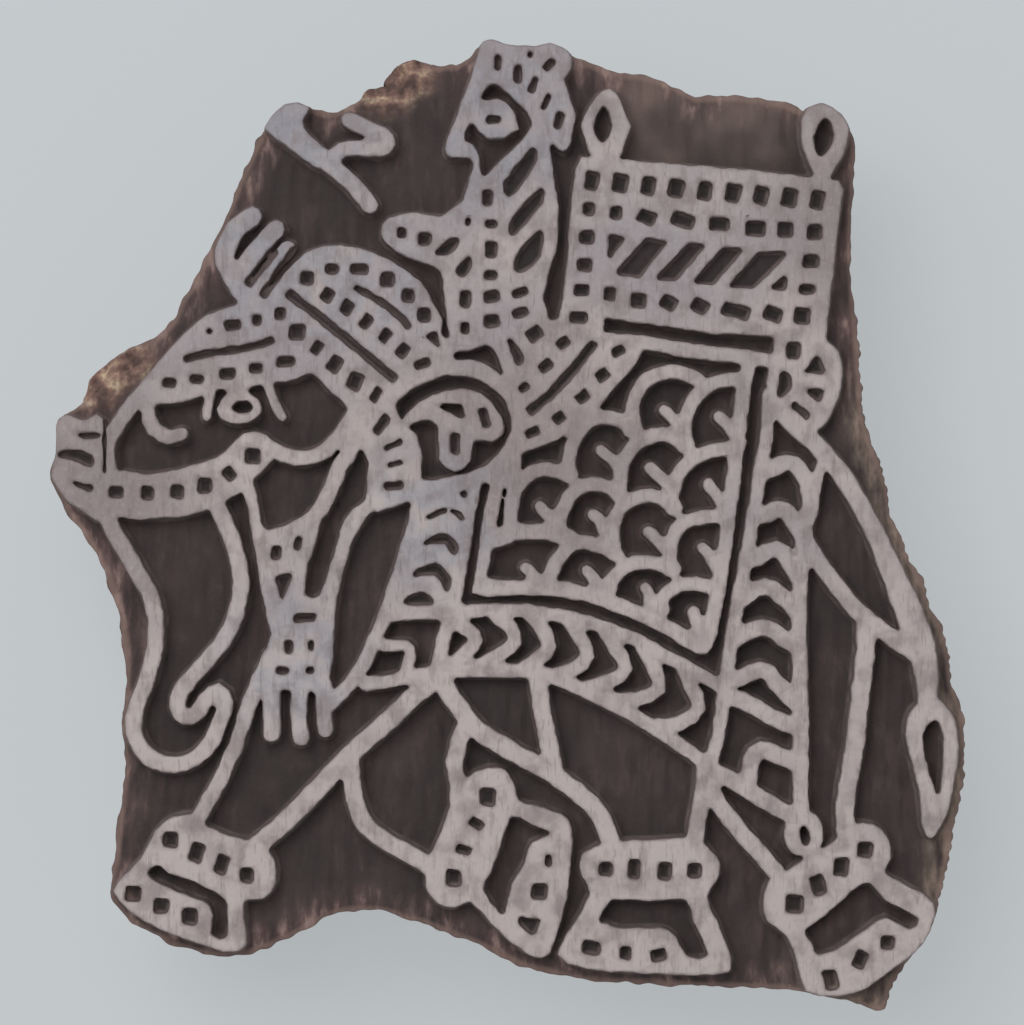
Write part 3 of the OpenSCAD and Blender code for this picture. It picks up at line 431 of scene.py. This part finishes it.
for ring in range(3):
    bpy.ops.mesh.inset(thickness=0.85 * MM, depth=0)
choose("edges", lambda e: all(v.co.z < HEAD_Z + 0.01 * MM for v in e.verts)
       and any(abs(f.normal.z) < 0.3 for f in e.link_faces))
bpy.ops.mesh.bevel(offset=0.25 * MM, segments=2, affect="EDGES")
bpy.ops.object.mode_set(mode="OBJECT")
for v in nail.data.vertices:
    if v.co.z < HEAD_Z + 0.02 * MM:
        out = math.hypot(v.co.x + NAIL_X, v.co.y + NAIL_Y) / HEAD_R
        hammered = noise.noise(Vector((v.co.x / DENT, v.co.y / DENT, 4.0)))
        v.co.z -= (0.14 * (1 - out * out) + 0.07 * hammered) * MM
bpy.ops.object.shade_smooth_by_angle(angle=math.radians(40))
print("nail length", round(nail.dimensions.z / MM, 1), "mm")

# %% [markdown]
# The other three nails are the same forging. Each copy has its own mesh and is turned by another
# angle round its shank, so the hammer marks don't line up. The points are moved and not the
# object, because a finished piece's object stays at the origin, unturned.

# %% Copies of the nail
nails = [nail]
for number, (sx, sy) in enumerate(((-1, 1), (1, -1), (1, 1)), start=2):
    copy = bpy.data.objects.new("forged_nail_%d" % number, nail.data.copy())
    bpy.context.scene.collection.objects.link(copy)
    for v in copy.data.vertices:
        dx, dy = v.co.x + NAIL_X, v.co.y + NAIL_Y
        turn = 1.3 * number
        v.co.x = sx * NAIL_X + dx * math.cos(turn) - dy * math.sin(turn)
        v.co.y = sy * NAIL_Y + dx * math.sin(turn) + dy * math.cos(turn)
    nails.append(copy)
print(len(nails), "nails")

# %% [markdown]
# Materials
#
# Real wood could be shown with photographs wrapped round the block, but node patterns have no
# seams and are sharp from close by, so every finish here is made of nodes. Colours are written
# as they look on a screen, as hex values, and one function turns them into the linear numbers
# that Blender works with. A second function adds one node with its settings and links, and
# gives back one of its outputs.

# %% Helpers for materials
def linear(hex_colour):
    out = []
    for i in (0, 2, 4):
        c = int(hex_colour[i:i + 2], 16) / 255
        out.append(c / 12.92 if c <= 0.04045 else ((c + 0.055) / 1.055) ** 2.4)
    return (*out, 1.0)


def add(mat, kind, inputs, output=0, **settings):
    node = mat.node_tree.nodes.new(kind)
    for name, value in settings.items():
        setattr(node, name, value)
    for socket, value in inputs.items():
        if isinstance(value, bpy.types.NodeSocket):
            mat.node_tree.links.new(value, node.inputs[socket])
        else:
            node.inputs[socket].default_value = linear(value) if isinstance(value, str) else value
    return node.outputs[output] if node.outputs else None


def new_material(name):
    mat = bpy.data.materials.new(name)
    mat.use_nodes = True
    mat.node_tree.nodes.clear()
    return mat


# %% [markdown]
# Two steps come back in every finish here. Its patterns are noise at a real size in
# millimetres, drawn out along the grain by a small scale on that axis. Its colours are
# glazes, laid one over the other as a dyer would: each one shows where its mask rises from
# low to high, and covers what is under it by its share. A Mix node keeps its colours in
# sockets 6 and 7 and gives the result in socket 2.

# %% Patterns and glazes
def patterns(mat, place, rows):
    found = []
    for size, stretch, detail, shift in rows:
        drawn = add(mat, "ShaderNodeMapping", {"Vector": place, "Scale": stretch, "Location": shift})
        found.append(add(mat, "ShaderNodeTexNoise", {"Vector": drawn, "Scale": 1 / (size * MM),
                                                     "Detail": detail, "Roughness": 0.55}, "Fac"))
    return found


def glazed(mat, base, layers):
    for mask, low, high, share, colour in layers:
        steps = {"Value": mask, "From Min": low, "From Max": high, "To Max": share}
        cover = add(mat, "ShaderNodeMapRange", steps, interpolation_type="SMOOTHSTEP")
        base = add(mat, "ShaderNodeMix", {0: cover, 6: base, 7: colour}, 2, data_type="RGBA")
    return base


# %% [markdown]
# Sheesham, carved, with a skin of old pigment
#
# Blocks are cut from sheesham or teak, here with the grain up and down the picture. Height tells
# the zones apart: the tops carry the pale pigment, the walls and ground are dark with soaked-in
# dye and with painted shade, and the chopped sides and the back show reddish wood.
#
# The pigment is a pinkish grey, a little darker towards the top. In a few places it turns
# bluish, where another colour was used, and in others it is thin and lets the wood through.
# The ground between the howdah's two finials is scrubbed paler. Pigment is rubbed off in
# streaks of 2 to 3 mm. Pores are dark dashes, 0.5 mm across and 4 mm long, a little coarser
# than in the real wood so that they show, and they come through the pigment.

# %% Patterns in the block's wood
wood = new_material("carved_sheesham_with_old_pigment")
place = add(wood, "ShaderNodeTexCoord", {}, "Object")
along_x, along_y, height = (add(wood, "ShaderNodeSeparateXYZ", {"Vector": place}, axis) for axis in "XYZ")
wall_gap = add(wood, "ShaderNodeAttribute", {}, "Fac", attribute_name="from_wall")
rim_gap = add(wood, "ShaderNodeAttribute", {}, "Fac", attribute_name="from_rim")
clouds, patches, grain, pores, grit, rubbed, bark_lumps_and_painted_light, cuts = patterns(wood, place, [
    (22, (1, 1, 1), 3, (0, 0, 0)),
    (7, (1, 1, 1), 3, (0.3, 0, 0)),
    (1.1, (1, 0.09, 0.3), 4, (0, 0, 0)),
    (0.5, (1, 0.13, 0.4), 2, (0.1, 0.2, 0)),
    (0.9, (1, 1, 1), 5, (0, 0, 0)),
    (2.6, (1, 0.35, 1), 5, (0.5, 0.3, 0)),
    (3.4, (1, 1, 1), 2, (0.7, 0.4, 0)),
    (3, (1, 1, 0.1), 3, (0, 0.6, 0))])
print("patterns drawn from 0.5 to 22 mm")

# %% [markdown]
# Some places have a colour of their own that no even pattern would give. Each is written down
# as a point on the block, and the material measures how far away it is. A painted mask could
# do the same, but points can be read and moved.

# %% Places with a colour of their own
TINT_SPOTS = [(-40 * MM, 78 * MM), (-50 * MM, 55 * MM), (0, 78 * MM), (-30 * MM, 48 * MM),
              (-14 * MM, 2 * MM), (-43 * MM, -27 * MM)]
TINT_REACH = 22 * MM
THIN_SPOTS = [(74 * MM, 62 * MM), (-82 * MM, 6 * MM), (4 * MM, 14 * MM)]
THIN_REACH = 32 * MM
SCRUBBED_SPOTS = [(32 * MM, 82 * MM), (48 * MM, 82 * MM)]


def gap_to(mat, place, spots, level):
    gap = None
    for x, y in spots:
        away = add(mat, "ShaderNodeVectorMath", {0: place, 1: (x, y, level)}, "Value", operation="DISTANCE")
        gap = away if gap is None else add(mat, "ShaderNodeMath", {0: gap, 1: away}, operation="MINIMUM")
    return gap


bark_gap = gap_to(wood, place, BARK_SPOTS, Z_GROUND)
tint_gap = gap_to(wood, place, TINT_SPOTS, Z_FACE)
thin_gap = gap_to(wood, place, THIN_SPOTS, Z_FACE)
scrubbed_gap = gap_to(wood, place, SCRUBBED_SPOTS, Z_GROUND)
print(len(TINT_SPOTS), "bluish places,", len(THIN_SPOTS), "thin ones,", len(BARK_SPOTS), "with bark")

# %% [markdown]
# The glazes of the pigment go from the widest change to the finest: first the slow darkening
# towards the top, then thin and bluish places, then wear, grit and pores. Last comes a darker
# edge along the walls, which is painted shade where the tops round over.

# %% Pigment on the tops
rise = add(wood, "ShaderNodeMath", {0: along_y, 1: 1 / (400 * MM)}, operation="MULTIPLY")
upwards = add(wood, "ShaderNodeMath", {0: clouds, 1: rise}, operation="ADD")
cloudy = add(wood, "ShaderNodeMapRange", {"Value": patches, "From Min": 0.35, "From Max": 0.6,
                                          "To Max": 0.75})
pigment = glazed(wood, "AEA4A2", [
    (upwards, 0.35, 0.6, 1.0, "A39998"),
    (upwards, 0.5, 0.8, 1.0, "928B8E"),
    (thin_gap, THIN_REACH, 0.2 * THIN_REACH, 0.7, "817675"),
    (tint_gap, TINT_REACH, 0.3 * TINT_REACH, cloudy, "868B96"),
    (patches, 0.46, 0.68, 0.7, "827776"),
    (rubbed, 0.5, 0.68, 0.4, "6E6362"),
    (grit, 0.5, 0.75, 0.2, "BDB3B0"),
    (pores, 0.58, 0.7, 0.35, "6B5E5A"),
    # painted shade: the tops darken within 0.7 mm of a wall, where they round over
    (wall_gap, 0.7, 0.1, 0.35, "78696A")])
print("pigment is a pinkish grey, sRGB AEA4A2 where it is thickest")

# %% [markdown]
# Bare wood is seen in three places. At the rim of the ground the dye is rubbed off in streaks,
# on the sides each cut of the gouge has its own tone, and the back is stained in clouds. They
# share one plain wood, glazed in three ways. Towards the lower right the wood is weathered grey.
# The bark is glazed in light and dark lumps of 3.4 mm, partly its own colour and partly painted
# highlights and painted shade of the lumps.

# %% Bare wood and bark
# the bark's lumps: partly its own colour, partly painted highlights in the pale glazes and painted shade in
# the dark base
bark_and_painted_light = glazed(wood, "46332E", [
    (bark_lumps_and_painted_light, 0.32, 0.5, 1.0, "7A5E55"),
    (bark_lumps_and_painted_light, 0.48, 0.62, 1.0, "A28572"),
    (bark_lumps_and_painted_light, 0.58, 0.7, 0.75, "C6B49A"),
    (grit, 0.55, 0.4, 0.5, "4E3A33")])
lower = add(wood, "ShaderNodeMapRange", {"Value": along_y, "From Min": 34 * MM, "From Max": 16 * MM,
                                         "To Max": 0.6})
plain_wood = glazed(wood, "4B3A37", [
    (grain, 0.25, 0.55, 1.0, "664E4A"),
    (grain, 0.45, 0.75, 1.0, "78635F")])
weathered = [
    (along_x, 48 * MM, 70 * MM, lower, "9A8A7A"),
    (bark_gap, BARK_REACH, BARK_CORE, 0.9, bark_and_painted_light)]
bare = glazed(wood, plain_wood, [(rubbed, 0.5, 0.7, 1.0, "8E7670")] + weathered)
chopped = glazed(wood, plain_wood, [
    (grit, 0.2, 0.3, 0.55, "66504A"),
    (cuts, 0.48, 0.66, 0.7, "8A7266"),
    (cuts, 0.46, 0.3, 0.6, "45332F")] + weathered)
back = glazed(wood, plain_wood, [
    (clouds, 0.5, 0.66, 0.6, "4A3833"),
    (patches, 0.5, 0.7, 0.4, "7E685C")])
print("bark reaches", round(BARK_REACH / MM), "mm round each of its places")

# %% [markdown]
# Dye soaks into the ground and makes it dark. On the walls and the floors of the small cells it is
# darkened nearly to black, which is painted shade, and the ground is darker near the walls than in
# the open, partly dye and partly painted shade. Along the rim it is rubbed through to the wood, and
# its very edge is paler still, partly a painted highlight. How dark the ground is can't be painted
# by height alone, so the two distances kept with each point do most of the work.

# %% Dyed ground and walls, with painted shade
rim_share = add(wood, "ShaderNodeMapRange", {"Value": rubbed, "From Min": 0.36, "From Max": 0.7,
                                             "To Max": 0.9})
by_rim = add(wood, "ShaderNodeMapRange", {"Value": rim_gap, "From Min": 7.5, "From Max": 3.5,
                                          "To Max": 0.9})
dye_and_painted_shade = glazed(wood, "2B2020", [
    (grain, 0.25, 0.55, 1.0, "302423"),
    (grain, 0.45, 0.75, 1.0, "362625"),
    # partly dye, partly painted shade: the ground grows paler from 0.8 to 6 mm away from a wall
    (wall_gap, 0.8, 6.0, 0.25, "3F3231"),
    (patches, 0.42, 0.62, 0.3, "453735"),
    (rubbed, 0.5, 0.7, 0.3, "564745"),
    (scrubbed_gap, 15 * MM, 7 * MM, 0.65, "705F58"),
    (clouds, 0.58, 0.38, 0.6, "231C1B"),
    # painted shade: the walls and the floors of the small cells, higher than the ground, go nearly black
    (height, Z_GROUND + 0.8 * MM, Z_CELL - 0.4 * MM, 0.6, "1E1617"),
    (wall_gap, 0.9, 0.1, 0.85, "786A68"),
    (rim_gap, 6.5, 1.0, rim_share, bare),
    # worn edge and, in part, painted highlight: the outermost 1.3 mm of the ground is paler
    (rim_gap, 1.3, 0.2, 0.5, "866E66"),
    (bark_gap, BARK_REACH, BARK_CORE, by_rim, bark_and_painted_light)])
print("dye is rubbed through within 6.5 mm of the rim")

# %% [markdown]
# The pigment ends at a ragged edge about a millimetre below the tops, because the pad reaches
# a little way down the walls, and traces of it have run to their feet. Grain and grit stand
# out by up to a fifth of a millimetre, and a bump is enough for that.

# %% Put the zones together
ragged = add(wood, "ShaderNodeMath", {0: grit, 1: 0.5}, operation="SUBTRACT")
ragged = add(wood, "ShaderNodeMath", {0: ragged, 1: 0.7 * MM}, operation="MULTIPLY")
level = add(wood, "ShaderNodeMath", {0: height, 1: ragged}, operation="ADD")
colour = glazed(wood, dye_and_painted_shade, [
    (height, Z_GROUND - 0.8 * MM, Z_GROUND - 4 * MM, 1.0, chopped),
    (height, Z_BACK + 1.2 * MM, Z_BACK + 0.3 * MM, 1.0, back),
    (level, Z_FACE - 1.2 * MM, Z_FACE, 1.0, pigment)])
bumps = add(wood, "ShaderNodeMath", {0: grain, 1: grit}, operation="ADD")
relief = add(wood, "ShaderNodeBump", {"Height": bumps, "Strength": 0.6, "Distance": 0.17 * MM})
matt = add(wood, "ShaderNodeMapRange", {"Value": grit, "To Min": 0.75, "To Max": 0.9})
surface = add(wood, "ShaderNodeBsdfPrincipled", {"Base Color": colour, "Normal": relief, "Roughness": matt})
add(wood, "ShaderNodeOutputMaterial", {"Surface": surface})
print("block material has", len(wood.node_tree.nodes), "nodes")

# %% [markdown]
# Handle: sheesham polished by hands
#
# The same wood, but sawn with its grain along the bar and polished by oil and skin, so it is
# smoother and warmer than the block. Growth bands are about 4 mm wide, and fibres 0.7 mm, both
# drawn out along the bar. Stains from wet hands make some places duller.

# %% Handle material
polished = new_material("hand_polished_sheesham")
place = add(polished, "ShaderNodeTexCoord", {}, "Object")
bands, fibres, stain = patterns(polished, place, [
    (4, (0.06, 1, 1), 4, (0, 0, 0)),
    (0.7, (0.05, 1, 1), 3, (0, 0, 0)),
    (18, (1, 1, 1), 3, (0.2, 0, 0))])
warm = glazed(polished, "4A3022", [
    (bands, 0.3, 0.52, 1.0, "6B4630"),
    (bands, 0.48, 0.7, 1.0, "8A5F40"),
    (fibres, 0.5, 0.75, 0.5, "38241A"),
    (stain, 0.5, 0.7, 0.35, "53443E")])
fine = add(polished, "ShaderNodeBump", {"Height": fibres, "Strength": 0.35, "Distance": 0.15 * MM})
satin = add(polished, "ShaderNodeMapRange", {"Value": stain, "To Min": 0.38, "To Max": 0.68})
surface = add(polished, "ShaderNodeBsdfPrincipled", {"Base Color": warm, "Normal": fine,
                                                     "Roughness": satin})
add(polished, "ShaderNodeOutputMaterial", {"Surface": surface})
print("handle material has", len(polished.node_tree.nodes), "nodes")

# %% [markdown]
# Nails: forged iron with a little rust
#
# Forge scale is nearly black. Rust starts in spots of 1 to 2 mm, and where it grows the surface
# stops being metallic, so one mask steers both the colour and the metal.

# %% Nail material
iron = new_material("forged_iron_with_rust")
place = add(iron, "ShaderNodeTexCoord", {}, "Object")
blots, scale_bits = patterns(iron, place, [
    (1.5, (1, 1, 1), 4, (0, 0, 0)),
    (0.5, (1, 1, 1), 3, (0, 0, 0))])
skin = glazed(iron, "4A4644", [(blots, 0.52, 0.66, 1.0, "6E4028")])
clean = add(iron, "ShaderNodeMapRange", {"Value": blots, "From Min": 0.52, "From Max": 0.66, "To Min": 0.9,
                                         "To Max": 0.0}, interpolation_type="SMOOTHSTEP")
dents = add(iron, "ShaderNodeBump", {"Height": scale_bits, "Strength": 0.4, "Distance": 0.12 * MM})
surface = add(iron, "ShaderNodeBsdfPrincipled", {"Base Color": skin, "Normal": dents, "Roughness": 0.55,
                                                 "Metallic": clean})
add(iron, "ShaderNodeOutputMaterial", {"Surface": surface})
print("nail material has", len(iron.node_tree.nodes), "nodes")

# %% [markdown]
# A material does nothing until a piece carries it. Each piece here is of one material, so it
# has one slot, and the four nails share the same iron.

# %% Give the pieces their materials
block.data.materials.append(wood)
handle.data.materials.append(polished)
for piece in nails:
    piece.data.materials.append(iron)
print("materials given to", 2 + len(nails), "pieces")

# %% [markdown]
# The new pieces stand for the imported solids. A table lists each piece with the solid it
# replaces and the finish of the record it has; each piece rides on the body, and the solid it
# replaces is hidden.

# %% Tie the pieces to the part
body_name = sorted(frame["bodies"])[0]
ties = [
    (block, "carved_block", "block_wood"),
    (handle, "handle", "handle_wood"),
    (nails[0], "nail_left_front", "nail_iron"),
    (nails[1], "nail_left_back", "nail_iron"),
    (nails[2], "nail_right_front", "nail_iron"),
    (nails[3], "nail_right_back", "nail_iron")]
for piece, node, slot in ties:
    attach(piece, body_name)
    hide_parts(node)
print("all pieces ride on", body_name)

# %% [markdown]
# Floor, light and camera
#
# The block lies on a plain pale floor. A floor that is only lit would turn darker towards its
# edges. So to the camera it also shows the plain grey of the backdrop, by seven tenths: the
# picture's background is even, and the block's shadow on the floor stays, faintly.

# %% Floor and backdrop
BACKDROP = "C4C9CC"


def seen_directly(mat, share):
    seen = None
    for ray in ("Is Camera Ray", "Is Glossy Ray", "Is Transmission Ray"):
        path = add(mat, "ShaderNodeLightPath", {}, ray)
        seen = path if seen is None else add(mat, "ShaderNodeMath", {0: seen, 1: path}, operation="MAXIMUM")
    return add(mat, "ShaderNodeMath", {0: seen, 1: share}, operation="MULTIPLY")


bpy.ops.object.select_all(action="DESELECT")
bpy.ops.mesh.primitive_plane_add(size=6, location=(0, 0, 0))
floor = bpy.context.object
floor.name = "floor"
paper = new_material("pale_studio_floor")
lit = add(paper, "ShaderNodeBsdfPrincipled", {"Base Color": BACKDROP, "Roughness": 0.9})
plain = add(paper, "ShaderNodeEmission", {"Color": BACKDROP, "Strength": 1.0})
even = add(paper, "ShaderNodeMixShader", {0: seen_directly(paper, 0.7), 1: lit, 2: plain})
add(paper, "ShaderNodeOutputMaterial", {"Surface": even})
floor.data.materials.append(paper)
print("floor is", round(floor.dimensions.x, 1), "m wide")

# %% [markdown]
# The light is soft: an even sky and one large lamp, high up and a little to the upper left, so
# that the raised lines throw short soft shadows. A small lamp would draw hard black edges, and
# the sky alone would leave the relief flat.

# %% Soft light
world = bpy.data.worlds.new("even_sky")
bpy.context.scene.world = world
world.use_nodes = True
world.node_tree.nodes.clear()
sky = add(world, "ShaderNodeBackground", {"Color": "FFFFFF", "Strength": 0.38})
backdrop = add(world, "ShaderNodeBackground", {"Color": BACKDROP, "Strength": 1.0})
both = add(world, "ShaderNodeMixShader", {0: seen_directly(world, 1.0), 1: sky, 2: backdrop})
add(world, "ShaderNodeOutputWorld", {"Surface": both})

lamp_data = bpy.data.lights.new("large_soft_lamp", "AREA")
lamp_data.shape = "SQUARE"
lamp_data.size = 0.9
lamp_data.energy = 16.0
lamp = bpy.data.objects.new("large_soft_lamp", lamp_data)
bpy.context.scene.collection.objects.link(lamp)
lamp.location = (-0.34, 0.42, 1.42)
lamp.rotation_euler = (Vector((0, 0, 60 * MM)) - lamp.location).to_track_quat("-Z", "Y").to_euler()
print("lamp is", round(lamp.location.length, 2), "m away")

# %% [markdown]
# The photograph looks straight down on the face. The block is 920 pixels wide in a picture
# 1024 pixels wide, so the picture spans 204.8 mm at the printing face. From 1.1 m away that
# takes a long lens. The block sits 5.5 pixels left of the middle and 12.5 pixels below it, so
# the camera stands 1.1 mm to the right and 2.5 mm towards the top.

# %% Camera
DISTANCE = 1.1
SPAN = 204.8 * MM
camera_data = bpy.data.cameras.new("camera")
camera_data.sensor_width = 36
camera_data.sensor_fit = "HORIZONTAL"
camera_data.lens = 36 * DISTANCE / SPAN
camera = bpy.data.objects.new("camera", camera_data)
bpy.context.scene.collection.objects.link(camera)
camera.location = (1.1 * MM, 2.5 * MM, Z_FACE + DISTANCE)
bpy.context.scene.camera = camera
bpy.context.scene.view_settings.view_transform = "Standard"
print("lens", round(camera_data.lens, 1), "mm")
